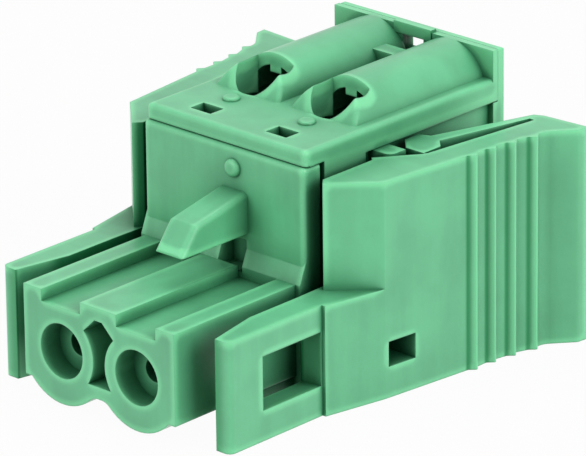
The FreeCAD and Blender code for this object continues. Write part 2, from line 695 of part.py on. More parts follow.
def make_cover():
    body = new_body("cover")
    sk = sketch(body, "XY_Plane", s.block_top)
    box(sk, -cover_half, cover_half, s.cover_front, s.flange_front)
    pad(body, sk, plate_top - s.block_top)
    # Side skirts behind the housing's front posts, each with a deeper snap tab at its front.
    skirt_front = s.block_front + s.post_length + s.skirt_slot
    for floor, end in ((s.skirt_low, s.rear_inner), (s.tab_low, s.tab_end)):
        sk = sketch(body, "XY_Plane", floor)
        for side in (-1, 1):
            low = (recess_half + s.skirt_play) * side
            high = cover_half * side
            ends = (low, high) if side > 0 else (high, low)
            box(sk, ends[0], ends[1], skirt_front, end)
        pad(body, sk, s.block_top - floor + s.lip_gap)
    sk = sketch(body, "XZ_Plane", s.flange_front)
    box(sk, -cover_half, cover_half, s.block_top, wall_top)
    pad(body, sk, s.rear_inner - s.flange_front, True)

    # Half-round tunnels with leaning front faces.
    for middle in (-pole, pole):
        sk = sketch(body, "XZ_Plane", s.tunnel_start)
        round_cut(sk, middle, tunnel_level, s.tunnel_radius, plate_top - s.lip_gap, True)
        pad(body, sk, s.flange_front - s.tunnel_start, True)
    rise = crest - plate_top
    sk = sketch(body, "YZ_Plane", -cover_half)
    outline(
        sk,
        (
            (s.tunnel_start - s.tunnel_lean, plate_top),
            (s.tunnel_start, plate_top),
            (s.tunnel_start + s.tunnel_lean * 1.5, plate_top + rise * 1.5),
            (s.tunnel_start - s.tunnel_lean, plate_top + rise * 1.5),
        ),
    )
    pocket(body, sk, cover_half * 2, True)
    fillet(
        body,
        s.tunnel_edge,
        lambda m, a, b: near(a.z, plate_top)
        and near(b.z, plate_top)
        and m.z > crest.value - 0.2
        and m.y < mouth_rear.value,
    )

    # Bridge and thick lintel between the tunnels.
    sk = sketch(body, "XY_Plane", plate_top - s.lip_gap)
    box(sk, -s.bridge_half, s.bridge_half, s.bridge_front, s.bridge_front + s.bridge_length)
    pad(body, sk, bridge_top - plate_top + s.lip_gap)
    sk = sketch(body, "XY_Plane", gate_high)
    box(sk, -s.lintel_half, s.lintel_half, s.flange_front - s.lintel_depth, s.rear_inner)
    pad(body, sk, wall_top - gate_high + s.lintel_rise)
    sk = sketch(body, "XZ_Plane", s.flange_front)
    box(sk, -s.gate_half, s.gate_half, gate_low, gate_high)
    pocket(body, sk, s.rear_inner - s.flange_front)

    # Button channels, with a guide rail left under the roof at the front.
    for middle in (-pole, pole):
        sk = sketch(body, "XZ_Plane", mouth_rear)
        arch(sk, middle, tunnel_level, s.channel_radius, s.block_top - s.lip_gap)
        pocket(body, sk, s.flange_front - mouth_rear)
        sk = sketch(body, "XZ_Plane", mouth_rear)
        box(sk, middle - s.rail_half, middle + s.rail_half, rail_low, crest - s.lip_gap)
        pad(body, sk, s.rail_length, True)
    sk = sketch(body, "XZ_Plane", s.flange_front)
    for middle in (-pole, pole):
        arch(sk, middle, tunnel_level, s.channel_radius, s.skirt_low - s.lip_gap)
    pocket(body, sk, s.rear_inner - s.flange_front)

    # Mouths: a round cut from above with a flat rear wall.
    sk = sketch(body, "XY_Plane", crest + s.lip_gap)
    for middle in (-pole, pole):
        mouth(sk, middle)
    pocket(body, sk, crest + s.lip_gap * 2 - s.block_top)

    # Test windows and low pips.
    sk = sketch(body, "XY_Plane", plate_top)
    for middle in (-pole, pole):
        box(
            sk,
            middle - s.window_half,
            middle + s.window_half,
            s.window_front,
            s.window_front + s.window_length,
        )
    pocket(body, sk, plate_top - s.block_top)
    sk = sketch(body, "XY_Plane", plate_top)
    circle(sk, -pole, s.stud_y, s.stud_radius)
    circle(sk, pole, s.stud_y, s.stud_radius)
    pad(body, sk, s.stud_height)
    fillet(
        body,
        s.stud_height * 0.9,
        lambda m, a, b: near(m.z, plate_top + s.stud_height) and near(a.z, b.z),
    )
    fillet(
        body,
        s.edge_radius,
        lambda m, a, b: (along_x(a, b) and near(m.y, s.cover_front) and near(m.z, plate_top))
        or (along_y(a, b) and near(abs(m.x), cover_half) and near(m.z, plate_top))
        or (along_z(a, b) and near(m.y, s.cover_front)),
    )
    # Shadow gap under the front lip.
    sk = sketch(body, "YZ_Plane", -cover_half)
    box(
        sk,
        s.cover_front - s.lip_depth,
        s.cover_front + s.lip_depth,
        s.block_top - s.lip_gap,
        s.block_top + s.lip_gap,
    )
    pocket(body, sk, cover_half * 2, True)
    return body


def mouth(sk, x):
    """Round outline cut off straight at the mouth's rear wall."""
    reach = (s.mouth_radius.value**2 - (mouth_rear.value - mouth_y.value) ** 2) ** 0.5
    middle = corner(x, mouth_y)
    left = Vector(middle.x - reach, mouth_rear.value, 0)
    right = Vector(middle.x + reach, mouth_rear.value, 0)
    front = middle - Vector(0, s.mouth_radius.value, 0)
    arc = sk.addGeometry(Part.Arc(left, front, right), False)
    line = sk.addGeometry(Part.LineSegment(left, right), False)
    first = sk.getPoint(arc, 1)
    start, end = (1, 2) if (first - left).Length < (first - right).Length else (2, 1)
    sk.addConstraint(Sketcher.Constraint("Coincident", arc, start, line, 1))
    sk.addConstraint(Sketcher.Constraint("Coincident", arc, end, line, 2))
    hold(sk, arc, 3, x, mouth_y)
    fix(sk, "Radius", s.mouth_radius, arc)
    fix(sk, "DistanceY", mouth_rear, -1, 1, line, 1)
    fix(sk, "DistanceY", mouth_rear, -1, 1, line, 2)


def side_points(points, side):
    """The right-hand outline, or its mirror image for the left."""
    return points if side > 0 else [(x * -1, y) for x, y in reversed(points)]


def side_box(sk, side, low_x, high_x, low_y, high_y):
    points = [(low_x, low_y), (high_x, low_y), (high_x, high_y), (low_x, high_y)]
    outline(sk, side_points(points, side))


def make_lever(name, side):
    body = new_body(name)
    # Full-height plate: front facet, finger grip, tail, leaf spring with its foot, hinge jaw.
    points = [
        (s.plate_corner_x, s.plate_front),
        (s.facet_x, s.facet_y),
    ]
    for ridge in range(RIDGES):
        out = s.grip_x + s.ridge_drift * ridge**2
        back = s.grip_start + s.ridge_pitch * ridge
        points.append((out, back))
        points.append((out + s.ridge_height, back + s.ridge_run))
        points.append((out + s.ridge_drift, back + s.ridge_run * 2))
    points += [
        (crease_x, crease_y),
        (tail_x, tail_y),
        (tail_x + s.edge_radius / 4, lever_end),
        (s.tail_inner_x + s.leaf_thick_rear, lever_end - s.edge_radius),
        (s.tail_inner_x, tail_inner_y),
        (s.leaf_front_x, s.leaf_front_y),
        (s.foot_inner, s.leaf_front_y - s.edge_radius),
        (s.foot_inner, s.foot_front + s.foot_cut),
        (s.foot_inner + s.foot_cut, s.foot_front),
        (s.foot_outer, s.foot_front),
        (s.foot_outer, s.foot_front + s.foot_length),
        (s.leaf_front_x + s.leaf_thick_front, s.leaf_front_y - s.edge_radius),
        (s.tail_inner_x + s.edge_radius, slot_end_y),
        (s.tail_inner_x + s.edge_radius + s.slot_rear_gap, slot_end_y),
        (s.slot_front_x, s.jaw_rear + s.edge_radius),
        (s.slot_front_x - s.edge_radius, s.jaw_rear),
        (s.jaw_inner, s.jaw_rear),
        (s.jaw_inner, s.jaw_front + s.edge_radius),
        (s.plate_inner, s.jaw_front - s.edge_radius),
        (s.plate_inner, s.plate_front + s.edge_radius * 2),
    ]
    sk = sketch(body, "XY_Plane", -s.lever_low)
    outline(sk, side_points(points, side))
    pad(body, sk, s.lever_top + s.lever_low)
    fillet(
        body,
        s.ridge_radius,
        lambda m, a, b: along_z(a, b)
        and abs(m.x) > s.grip_x.value - 0.01
        and s.grip_start.value - 0.01 < m.y < crease_y.value - 0.01,
    )
    fillet(body, s.tail_sweep, lambda m, a, b: along_z(a, b) and near(m.y, crease_y))
    fillet(
        body,
        s.tail_radius,
        lambda m, a, b: along_z(a, b) and near(abs(m.x), tail_x) and near(m.y, tail_y),
    )

    # Front arm with its tapered tip and the step in its outer face.
    sk = sketch(body, "XY_Plane", -s.lever_low)
    points = [
        (s.arm_tip_inner, s.arm_tip),
        (s.arm_outer, s.arm_tip),
        (s.arm_outer, s.arm_step_y),
        (s.arm_outer + s.arm_step, s.arm_step_y),
        (s.facet_x, s.facet_y),
        (s.plate_inner, s.facet_y),
        (s.plate_inner, s.plate_front + s.edge_radius * 2),
        (s.arm_inner, s.arm_step_y),
        (s.arm_inner, s.arm_taper_end),
    ]
    outline(sk, side_points(points, side))
    pad(body, sk, s.arm_top + s.lever_low)
    fillet(
        body,
        s.arm_round,
        lambda m, a, b: along_z(a, b) and near(m.y, s.arm_tip) and near(abs(m.x), s.arm_outer),
    )

    # Latch window, tapered inwards, and the square hole.
    sk = sketch(body, "YZ_Plane", s.arm_outer * side)
    box(sk, s.latch_front, s.latch_front + s.latch_length, -s.latch_low, s.latch_high)
    pocket(body, sk, s.arm_outer - s.arm_inner + s.edge_radius, side < 0, s.latch_taper)
    sk = sketch(body, "YZ_Plane", (s.facet_x + s.ridge_height * 2) * side)
    box(sk, s.hole_front, s.hole_front + s.hole_length, -s.hole_low, s.hole_high)
    pocket(body, sk, s.facet_x - s.plate_inner + s.ridge_height * 4, side < 0)

    # Recess for the cap, hinge bearing and the wider pocket for the pin's collar.
    sk = sketch(body, "XY_Plane", s.lever_top)
    inside = s.jaw_inner - s.edge_radius
    sink_rear = s.foot_front - s.cap_gap / 2
    points = [
        (inside, cap_front - s.sink_lead),
        (cap_reach + s.sink_side, sink_rear),
        (inside, sink_rear),
    ]
    outline(sk, side_points(points, side))
    pocket(body, sk, s.cap_sink)
    sk = sketch(body, "XY_Plane", s.lever_top)
    circle(sk, s.hinge_x * side, s.hinge_y, s.pin_radius + s.pin_play)
    pocket(body, sk, s.lever_top - s.collar_low)
    sk = sketch(body, "XY_Plane", s.collar_high + s.cap_gap)
    circle(sk, s.hinge_x * side, s.hinge_y, s.collar_radius + s.pin_play)
    pocket(body, sk, s.collar_high - s.collar_low + s.cap_gap * 2)
    sk = sketch(body, "XY_Plane", s.lever_top)
    side_box(
        sk,
        side,
        s.jaw_inner - s.edge_radius,
        s.hinge_x,
        s.hinge_y - s.web_half * 1.6,
        s.hinge_y + s.web_half * 1.6,
    )
    pocket(body, sk, s.lever_top - s.collar_low + s.cap_gap)
    return body


def make_contact(name, middle):
    body = new_body(name)
    body.setExpression("Placement.Base.x", middle.text)
    bar_top = s.strip - s.chamber_drop
    sk = sketch(body, "XY_Plane", -s.chamber_drop)
    box(sk, -s.strip_half, s.strip_half, s.tine_pinch, s.bar_end)
    pad(body, sk, s.strip)
    # Two tines that pinch the pin.
    for side in (-1, 1):
        sk = sketch(body, "XY_Plane", bar_top)
        points = [
            (s.tine_spread, s.tine_root),
            (s.tine_gap, s.tine_pinch),
            (s.tine_mouth, s.tine_tip),
            (s.tine_mouth + s.strip, s.tine_tip),
            (s.tine_gap + s.strip, s.tine_pinch),
            (s.tine_spread + s.strip, s.tine_root),
        ]
        outline(sk, side_points(points, side))
        pad(body, sk, s.tine_top - bar_top)
    # Web that joins the tines to the bar.
    sk = sketch(body, "XY_Plane", -s.chamber_drop)
    reach = s.tine_spread + s.strip
    box(sk, -reach, reach, s.tine_root - s.strip * 3, s.tine_root)
    pad(body, sk, s.strip)
    return body


def make_spring(name, middle):
    body = new_body(name)
    body.setExpression("Placement.Base.x", middle.text)
    tip_level = s.strip - s.chamber_drop + s.leg_tip_gap
    sk = sketch(body, "YZ_Plane", -s.leg_half)
    outline(
        sk,
        (
            (s.anchor_y, s.anchor_low),
            (s.anchor_y, s.bow_top),
            (s.bow_front, s.bow_top),
            (s.leg_tip_y, tip_level + s.leg_foot),
            (s.leg_tip_y + s.leg_foot / 2, tip_level),
            (s.bow_front + s.leg_thick, s.bow_top - s.leg_thick),
            (s.anchor_y - s.leg_thick, s.bow_top - s.leg_thick),
            (s.anchor_y - s.leg_thick, s.anchor_low),
        ),
    )
    pad(body, sk, s.leg_half * 2)
    # Wings of the clamping leg, which the button's prongs push.
    slope = (s.bow_front - s.leg_tip_y) / (s.bow_top - tip_level - s.leg_foot)
    front_low = s.bow_front - slope * (s.bow_top - s.wing_low)
    front_high = front_low + slope * s.wing_height
    sk = sketch(body, "YZ_Plane", -s.wing_half)
    outline(
        sk,
        (
            (front_low, s.wing_low),
            (front_low + s.leg_thick, s.wing_low),
            (front_high + s.leg_thick, s.wing_low + s.wing_height),
            (front_high, s.wing_low + s.wing_height),
        ),
    )
    pad(body, sk, s.wing_half * 2)
    fillet(
        body,
        s.bow_radius,
        lambda m, a, b: along_x(a, b)
        and near(m.z, s.bow_top)
        and (near(m.y, s.anchor_y) or near(m.y, s.bow_front)),
    )
    fillet(
        body,
        s.bow_radius - s.leg_thick,
        lambda m, a, b: along_x(a, b)
        and near(m.z, s.bow_top - s.leg_thick)
        and (near(m.y, s.anchor_y - s.leg_thick) or near(m.y, s.bow_front + s.leg_thick)),
    )
    return body


def make_button(name, middle):
    body = new_body(name)
    body.setExpression("Placement.Base.x", middle.text)
    half = s.channel_radius - s.button_play
    floor = s.shelf + s.cap_gap
    sk = sketch(body, "XZ_Plane", s.button_front)
    box(sk, -half, half, floor, s.button_step)
    pad(body, sk, button_end - s.button_front, True)
    sk = sketch(body, "XZ_Plane", s.button_crown)
    arch(sk, 0, tunnel_level, half, s.button_step - s.strip)
    pad(body, sk, button_end - s.button_crown, True)
    # Slot that clears the tunnel's guide rail over the whole stroke.
    sk = sketch(body, "XZ_Plane", s.button_crown)
    rail = s.rail_half + s.button_play
    box(sk, -rail, rail, rail_low - s.button_play * 2, crest)
    pocket(body, sk, mouth_rear + s.rail_length + s.leg_foot * 5 - s.button_crown)
    # Prongs that pass the spring's bow and reach its clamping leg.
    for side in (-1, 1):
        sk = sketch(body, "XZ_Plane", s.button_front)
        points = [
            (half - s.prong_thick, s.prong_low),
            (half, s.prong_low),
            (half, floor + s.strip),
            (half - s.prong_thick, floor + s.strip),
        ]
        outline(sk, side_points(points, side))
        pad(body, sk, s.prong_length, True)
    # Driver slot in the end that shows at the rear.
    sk = sketch(body, "XZ_Plane", button_end)
    level = (s.shelf + crest) / 2
    box(sk, -half * 0.75, half * 0.75, level - s.slot_half, level + s.slot_half)
    pocket(body, sk, s.slot_depth, True)
    return body


pieces = [
    make_housing(),
    make_cover(),
    make_lever("lever_left", -1),
    make_lever("lever_right", 1),
    make_contact("contact_left", -pole),
    make_contact("contact_right", pole),
    make_spring("clamp_spring_left", -pole),
    make_spring("clamp_spring_right", pole),
    make_button("release_button_left", -pole),
    make_button("release_button_right", pole),
]
doc.recompute()

for item in doc.Objects:
    faults = [word for word in item.State if word in ("Invalid", "Error")]
    if faults:
        raise RuntimeError(item.FullName + ": " + ", ".join(faults))
for piece in pieces:
    if piece.Shape.isNull() or not piece.Shape.isValid():
        raise RuntimeError(piece.Label + " has no valid shape")
    if len(piece.Shape.Solids) != 1:
        raise RuntimeError(piece.Label + " is not one solid")

os.makedirs("parts", exist_ok=True)
for piece in pieces:
    piece.Shape.exportStep("parts/" + piece.Label + ".step")
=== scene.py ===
import math

import bpy
from bpy.props import FloatProperty, FloatVectorProperty, PointerProperty
from mathutils import Matrix, Vector

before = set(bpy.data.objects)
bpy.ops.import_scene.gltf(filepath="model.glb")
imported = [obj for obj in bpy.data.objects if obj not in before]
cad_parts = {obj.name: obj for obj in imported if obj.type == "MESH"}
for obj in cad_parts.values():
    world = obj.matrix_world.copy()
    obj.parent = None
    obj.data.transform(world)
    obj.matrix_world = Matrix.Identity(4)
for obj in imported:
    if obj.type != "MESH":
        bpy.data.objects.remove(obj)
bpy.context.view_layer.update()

bl_info = {
    "name": "Pluggable terminal block",
    "version": (1, 0, 0),
    "blender": (4, 5, 0),
    "location": "3D View > Sidebar > Terminal block",
    "description": "Finishes of a two-pole pluggable terminal block, with its studio stage",
    "category": "Object",
}

MM = 0.001
FRAME_WIDTH = 586
SENSOR_WIDTH = 36.0

# Ridges on the levers' grips, from the part's origin; a highlight is painted on each crest and shade
# in each hollow
RIDGES = 4
GRIP_X = 9.1 * MM
GRIP_START = 4.67 * MM
RIDGE_PITCH = 1.31 * MM
RIDGE_BLUR = 0.09 * MM
RIDGE_CREST = (0.16 * MM, 0.46 * MM)
RIDGE_HOLLOW = (-0.13 * MM, 0.07 * MM)

# Keying slot between the sockets, with the pocket under the nose, where less gap shade is painted
SLOT_HALF = 1.05 * MM
SLOT_REAR = -2.5 * MM
SLOT_TOP = 6.8 * MM

# Where the fronts of the levers turn towards the body, and shade is painted on them
ARM_TIP_X = 6.75 * MM
ARM_TIP_Y = -10.80 * MM
PLATE_CORNER_X = 6.18 * MM
PLATE_CORNER_Y = -2.30 * MM

# Spans over which the plastic's masks rise
CREASE_REACH = 0.52 * MM
OPEN_EDGE = (0.70, 0.90)
THIN_EDGE = (0.06, 0.42)
CLOUD_SPAN = (0.32, 0.68)
SPECK_SPAN = (0.68, 0.80)
TURNED_EDGE = (0.80, 0.995)

# Colour factors of the plastic's darkest cloud, palest cloud and specks
DARK_CLOUD = 0.86
PALE_CLOUD = 1.10
SPECK = 0.62


# Shader maths


class Signal:
    """The output of a shader node, with arithmetic that adds Math nodes."""

    def __init__(self, finish, socket):
        self.finish = finish
        self.socket = socket

    def maths(self, operation, *values, clamp=False):
        return self.finish.node(
            "ShaderNodeMath",
            {"operation": operation, "use_clamp": clamp},
            dict(enumerate(values)),
        )

    def __add__(self, other):
        return self.maths("ADD", self, other)

    def __radd__(self, other):
        return self.maths("ADD", other, self)

    def __sub__(self, other):
        return self.maths("SUBTRACT", self, other)

    def __rsub__(self, other):
        return self.maths("SUBTRACT", other, self)

    def __mul__(self, other):
        return self.maths("MULTIPLY", self, other)

    def __rmul__(self, other):
        return self.maths("MULTIPLY", other, self)

    def size(self):
        """The signal without its sign."""
        return self.maths("ABSOLUTE", self)

    def at_least(self, other):
        """The larger of two signals."""
        return self.maths("MAXIMUM", self, other)

    def clamped(self):
        """The signal kept between 0 and 1."""
        return self.maths("ADD", self, 0.0, clamp=True)

    def between(self, low, high, start=0.0, end=1.0):
        """The signal's span low to high stretched over start to end, smoothly."""
        return self.finish.node(
            "ShaderNodeMapRange",
            {"interpolation_type": "SMOOTHSTEP"},
            {"Value": self, "From Min": low, "From Max": high, "To Min": start, "To Max": end},
            "Result",
        )

    def under(self, limit, blur):
        """1 up to the limit, falling to 0 over the blur."""
        return 1.0 - self.between(limit, limit + blur)


class Finish:
    """A procedural material, or the light of a room, that is built up node by node."""

    def __init__(self, holder):
        holder.use_nodes = True
        self.holder = holder
        self.tree = holder.node_tree
        self.tree.nodes.clear()

    def node(self, kind, settings=None, values=None, output=0):
        """Adds a node, first with its settings and then with the values or links of its sockets."""
        made = self.tree.nodes.new(kind)
        for name, value in (settings or {}).items():
            setattr(made, name, value)
        for key, value in (values or {}).items():
            self.feed(made.inputs[key], value)
        return Signal(self, made.outputs[output]) if made.outputs else None

    def feed(self, socket, value):
        if isinstance(value, Signal):
            self.tree.links.new(value.socket, socket)
        else:
            socket.default_value = value

    def place(self):
        """Where a point lies on the part, in metres from the part's origin."""
        return self.node("ShaderNodeTexCoord", output="Object")

    def stretched(self, x, y, z):
        """The place on the part, scaled along each axis."""
        return self.node(
            "ShaderNodeVectorMath",
            {"operation": "MULTIPLY"},
            {0: self.place(), 1: (x, y, z)},
            "Vector",
        )

    def part_of(self, vector, axis):
        """One coordinate of a vector."""
        return self.node("ShaderNodeSeparateXYZ", values={"Vector": vector}, output=axis)

    def noise(self, scale, detail=3.0, roughness=0.5, vector=None):
        return self.node(
            "ShaderNodeTexNoise",
            values={
                "Vector": vector or self.place(),
                "Scale": scale,
                "Detail": detail,
                "Roughness": roughness,
            },
            output="Fac",
        )

    def mix(self, amount, first, second):
        """A colour between two colours."""
        return self.node("ShaderNodeMix", {"data_type": "RGBA"}, {0: amount, 6: first, 7: second}, 2)

    def plain_normal(self):
        return self.node("ShaderNodeNewGeometry", output="Normal")

    def rounded_normal(self, radius, amount=1.0):
        """The surface normal as if each edge were rounded by the radius, by the amount."""
        rounded = self.node("ShaderNodeBevel", {"samples": 8}, {"Radius": radius}, "Normal")
        sockets = {0: amount, 4: self.plain_normal(), 5: rounded}
        return self.node("ShaderNodeMix", {"data_type": "VECTOR"}, sockets, 1)

    def edge_mask(self, width):
        """1 where an edge turns within the width, 0 on flat or gently curved surface."""
        facing = self.node(
            "ShaderNodeVectorMath",
            {"operation": "DOT_PRODUCT"},
            {0: self.rounded_normal(width), 1: self.plain_normal()},
            "Value",
        )
        return facing.between(*TURNED_EDGE, 1.0, 0.0)

    def openness(self, distance):
        """1 where nothing stands near the surface, falling towards 0 deep in gaps and corners."""
        settings = {"samples": 8}
        return self.node("ShaderNodeAmbientOcclusion", settings, {"Distance": distance}, "AO")

    def thinness(self, depth):
        """1 near outer edges and in thin walls, 0 where more than the depth of plastic lies behind."""
        settings = {"samples": 8, "inside": True, "only_local": True}
        return 1.0 - self.node("ShaderNodeAmbientOcclusion", settings, {"Distance": depth}, "AO")

    def bump(self, height, distance, normal):
        values = {"Height": height, "Distance": distance, "Strength": 1.0, "Normal": normal}
        return self.node("ShaderNodeBump", values=values)

    def surface(self, **sockets):
        """Ends the material in one Principled shader; underscores in the names stand for spaces."""
        values = {name.replace("_", " "): value for name, value in sockets.items()}
        shader = self.node("ShaderNodeBsdfPrincipled", values=values)
        self.node("ShaderNodeOutputMaterial", values={"Surface": shader})
        return self.holder


def new_finish(name):
    return Finish(bpy.data.materials.new(name))


def rgba(colour, factor=1.0):
    return tuple(channel * factor for channel in colour) + (1.0,)


# Places on the part where highlight and shade are painted


# Mask for the painted highlight on each grip crest and the painted shade in each hollow.
def beside_ridges(made, low, high):
    """1 between two distances behind the foot of each ridge on the levers' grips, 0 elsewhere."""
    place = made.place()
    steps = (made.part_of(place, "Y") - GRIP_START) * (1.0 / RIDGE_PITCH)
    nearest = steps.maths("ROUND", steps)
    behind = (steps - nearest) * RIDGE_PITCH
    rise = behind.between(low - RIDGE_BLUR, low + RIDGE_BLUR)
    fall = behind.between(high - RIDGE_BLUR, high + RIDGE_BLUR)
    counted = nearest.between(-0.6, -0.4) - nearest.between(RIDGES - 0.6, RIDGES - 0.4)
    outside = made.part_of(place, "X").size().between(GRIP_X - RIDGE_BLUR, GRIP_X)
    upright = made.part_of(made.plain_normal(), "X").size().between(0.3, 0.6)
    return (rise - fall) * counted * outside * upright


def within_slot(made):
    """1 in the keying slot and in the pocket under the nose, 0 elsewhere."""
    place = made.place()
    aside = made.part_of(place, "X").size().under(SLOT_HALF, 0.1 * MM)
    ahead = made.part_of(place, "Y").under(SLOT_REAR, 0.5 * MM)
    below = made.part_of(place, "Z").under(SLOT_TOP, 0.4 * MM)
    return aside * ahead * below


def lee_side(made):
    """1 where the levers' fronts turn into the shade of the body, 0 elsewhere."""
    place = made.place()
    across = made.part_of(place, "X").size()
    along = made.part_of(place, "Y")
    upright = 1.0 - made.part_of(made.plain_normal(), "Z").size()
    tip = across.under(ARM_TIP_X, 0.7 * MM) * along.under(ARM_TIP_Y, 0.1 * MM)
    corner = across.under(PLATE_CORNER_X, 0.22 * MM) * along.under(PLATE_CORNER_Y, 0.1 * MM)
    return (tip * 0.75).at_least(corner) * upright


# Materials


def moulded_plastic(name, look, flow, ridged=False, slotted=False):
    """Satin moulded polyamide: cloudy colour, spark-eroded grain and flow lines, with a painted
    highlight on the edges and grip crests and painted shade in creases, gaps and grip hollows.
    """
    made = new_finish(name)
    clouds = made.noise(260.0, 4.0, 0.55)
    flow_lines = made.noise(1.0, 3.0, 0.5, made.stretched(*flow))
    specks = made.noise(5200.0, 2.0, 0.5).between(*SPECK_SPAN)

    nearby = made.openness(CREASE_REACH)
    outward = nearby.between(*OPEN_EDGE)
    # Painted highlight: a pale band on outer edges and thin walls, standing in for light passing
    # through the plastic's edges.
    edges = made.thinness(look.edge_width).between(*THIN_EDGE) * outward
    # Painted shade: darkening in inner corners, where shade falls.
    creases = (1.0 - nearby) * look.crease_depth
    # Painted shade: darkening deep in gaps and between parts, where shade falls.
    gaps = ((1.0 - made.openness(look.gap_reach)) * look.gap_depth).clamped()
    if ridged:
        # Painted highlight on the crest of each grip ridge.
        edges = edges.at_least(beside_ridges(made, *RIDGE_CREST))
        # Painted shade in the hollow before each grip ridge, and where the levers' fronts turn towards
        # the body.
        creases = creases + beside_ridges(made, *RIDGE_HOLLOW) * look.ridge_shade
        creases = creases + lee_side(made) * look.lee_shade
    if slotted:
        # Less gap shade is painted in the keying slot and the pocket under the nose.
        gaps = gaps * (1.0 - within_slot(made) * look.slot_glow)
    creases = creases.clamped()

    tone = (clouds * 0.6 + flow_lines * 0.4).between(*CLOUD_SPAN)
    body = made.mix(tone, rgba(look.colour, DARK_CLOUD), rgba(look.colour, PALE_CLOUD))
    spotted = made.mix(specks * 0.16, body, rgba(look.colour, SPECK))
    # Paints the edge and crest highlight into the colour.
    painted_edge_light = made.mix(edges * look.edge_pallor, spotted, rgba(look.edge_colour))
    # Paints the shade of creases, grip hollows and the levers' fronts into the colour.
    creased = made.mix(creases, painted_edge_light, rgba(look.crease_colour))
    # Paints the gap shade into the colour.
    deep = made.mix(gaps, creased, rgba(look.gap_colour))

    height = made.noise(look.grain_scale, 3.0, 0.6) * 0.75 + flow_lines * 1.2
    return made.surface(
        Base_Color=deep,
        Roughness=look.roughness + (clouds - 0.5) * 0.16 - edges * 0.06,
        Normal=made.bump(height, look.grain_depth, made.rounded_normal(look.edge_radius, outward)),
        IOR=1.53,
        Specular_IOR_Level=look.sheen,
        # The coat's reflection is dimmed where gap and crease shade is painted.
        Coat_Weight=(1.0 - gaps) * (1.0 - creases) * look.skin,
        Coat_Roughness=0.38,
        Subsurface_Weight=look.translucency,
        Subsurface_Radius=(0.6, 1.0, 0.7),
        Subsurface_Scale=0.6 * MM,
    )


def rolled_strip(name, look, along):
    """Stamped metal strip: fine rolling marks, a soft plating haze and brighter sheared edges."""
    made = new_finish(name)
    marks = made.noise(1.0, 5.0, 0.65, made.stretched(*along))
    haze = made.noise(900.0, 4.0, 0.6)
    edges = made.edge_mask(look.edge_radius)
    dull = made.mix(haze.between(0.35, 0.7), rgba(look.colour, 0.82), rgba(look.colour, 1.06))
    return made.surface(
        Base_Color=made.mix(edges * 0.5, dull, rgba(look.colour, 1.25)),
        Metallic=1.0,
        Roughness=look.roughness + (marks - 0.5) * 0.22 + (haze - 0.5) * 0.12,
        Normal=made.bump(marks, look.mark_depth, made.rounded_normal(look.edge_radius)),
    )


def dress(material, *names):
    """Gives CAD nodes their finish, in every material slot they have."""
    for name in names:
        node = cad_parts[name]
        if not node.material_slots:
            node.data.materials.append(material)
        for holder in node.material_slots:
            holder.material = material


# Settings that a user would change


def colour_setting(name, description, default):
    return FloatVectorProperty(
        name=name,
        description=description,
        default=default,
        subtype="COLOR",
        size=3,
        min=0.0,
        max=1.0,
    )


def share_setting(name, description, default, most=1.0):
    return FloatProperty(
        name=name,
        description=description,
        default=default,
        subtype="FACTOR",
        min=0.0,
        max=most,
    )


def length_setting(name, description, default):
    return FloatProperty(
        name=name,
        description=description,
        default=default,
        unit="LENGTH",
        precision=6,
        min=0.0,
    )


def power_setting(name, description, default):
    return FloatProperty(
        name=name,
        description=description,
        default=default,
        unit="POWER",
        precision=4,
        min=0.0,
    )


def angle_setting(name, description, degrees):
    return FloatProperty(
        name=name,
        description=description,
        default=math.radians(degrees),
        subtype="ANGLE",
        unit="ROTATION",
    )


def wave_setting(name, description, default):
    return FloatProperty(name=name, description=description, default=default, min=100.0)


class PlasticLook(bpy.types.PropertyGroup):
    colour: colour_setting(
        "Colour", "Colour of the plastic on its flat surfaces", (0.130, 0.51, 0.262)
    )
    # Painted highlight: the edge colour, pallor and width paint a pale band on edges and grip crests,
    # standing in for light passing through the plastic.
    edge_colour: colour_setting(
        "Edge colour", "Colour of the edges, where light passes through", (0.25, 0.84, 0.43)
    )
    # Painted shade: the crease colour stands in for the shade in inner corners, grip hollows and on
    # the levers' fronts beside the body.
    crease_colour: colour_setting(
        "Crease colour", "Colour that the plastic takes in inner corners", (0.010, 0.24, 0.075)
    )
    # Painted shade: the gap colour stands in for the shade deep in gaps and between parts.
    gap_colour: colour_setting(
        "Gap colour", "Colour that the plastic takes deep in gaps", (0.002, 0.05, 0.018)
    )
    edge_pallor: share_setting(
        "Edge pallor", "How strongly the edges take their own colour", 0.65
    )
    edge_width: length_setting("Edge width", "Width of the pale band along each edge", 0.50 * MM)
    edge_radius: length_setting(
        "Edge radius", "Rounding that the mould leaves on every edge", 0.15 * MM
    )
    # Painted shade: how strongly inner corners and gaps are painted darker, and how far apart two
    # faces paint shade on each other.
    crease_depth: share_setting("Crease depth", "How strongly inner corners darken", 0.4, 2.0)
    gap_reach: length_setting("Gap reach", "How far apart two faces darken each other", 2.3 * MM)
    gap_depth: share_setting("Gap depth", "How strongly gaps darken", 1.20, 2.0)
    # Painted shade in the grip hollows and on the levers' fronts, and less of it in the keying slot.
    ridge_shade: share_setting(
        "Ridge shade", "How strongly the hollow before each ridge of a grip darkens", 0.75
    )
    lee_shade: share_setting(
        "Lee shade", "How strongly the levers darken where they turn towards the body", 0.85
    )
    slot_glow: share_setting(
        "Slot glow", "How much less the slot between the sockets darkens than other gaps", 0.5
    )
    roughness: share_setting("Roughness", "Roughness of the satin surface", 0.36)
    sheen: share_setting("Sheen", "Strength of the reflection on the satin surface", 0.15)
    skin: share_setting("Skin gloss", "Strength of the smooth skin that the mould leaves", 0.9)
    translucency: share_setting(
        "Translucency", "Share of light that scatters inside the plastic", 0.12
    )
    grain_scale: wave_setting("Grain scale", "Number of grain waves in one metre", 7500.0)
    grain_depth: length_setting("Grain depth", "Depth of the spark-eroded grain", 0.008 * MM)


